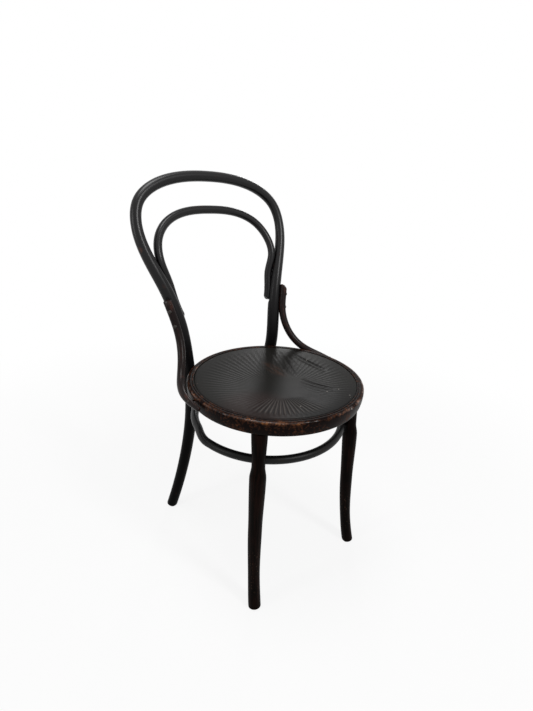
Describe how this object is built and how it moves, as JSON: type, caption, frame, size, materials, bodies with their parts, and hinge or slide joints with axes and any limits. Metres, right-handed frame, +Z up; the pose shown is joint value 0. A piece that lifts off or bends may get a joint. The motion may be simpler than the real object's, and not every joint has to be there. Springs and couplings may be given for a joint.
{
  "type": "bentwood bistro chair",
  "caption": "Bentwood chair with a hooped back, an inner hoop, hip braces, a round pressed seat and a leg ring.",
  "frame": {"origin": "on the floor under the middle of the chair's bounding box", "axes": "+Z up, -Y is the front that a sitter faces, +X to the right as seen from the front"},
  "size_m": [0.4364, 0.5102, 0.8963],
  "materials": {
    "bent_rod": "satin ebonised",
    "worn_brace": "satin, worn",
    "worn_seat_ring": "satin, worn",
    "pressed_panel": "satin",
    "turned_leg": "satin ebonised",
    "leg_ring_rod": "satin ebonised",
    "dark_steel": "darkened"
  },
  "bodies": {
    "root": {"back_frame": "bent_rod", "inner_hoop": "bent_rod", "left_hip_brace": "worn_brace", "right_hip_brace": "worn_brace", "seat_ring": "worn_seat_ring", "seat_panel": "pressed_panel", "left_front_leg": "turned_leg", "right_front_leg": "turned_leg", "leg_ring": "leg_ring_rod", "frame_bolts": "dark_steel", "frame_bolt_washers": "dark_steel", "frame_bolt_nuts": "dark_steel", "inner_hoop_screws": "dark_steel", "brace_post_screws": "dark_steel", "brace_rim_screws": "dark_steel", "leg_ring_screws": "dark_steel", "tenon_lock_screws": "dark_steel", "seat_panel_pins": "dark_steel"}
  },
  "joints": []
}
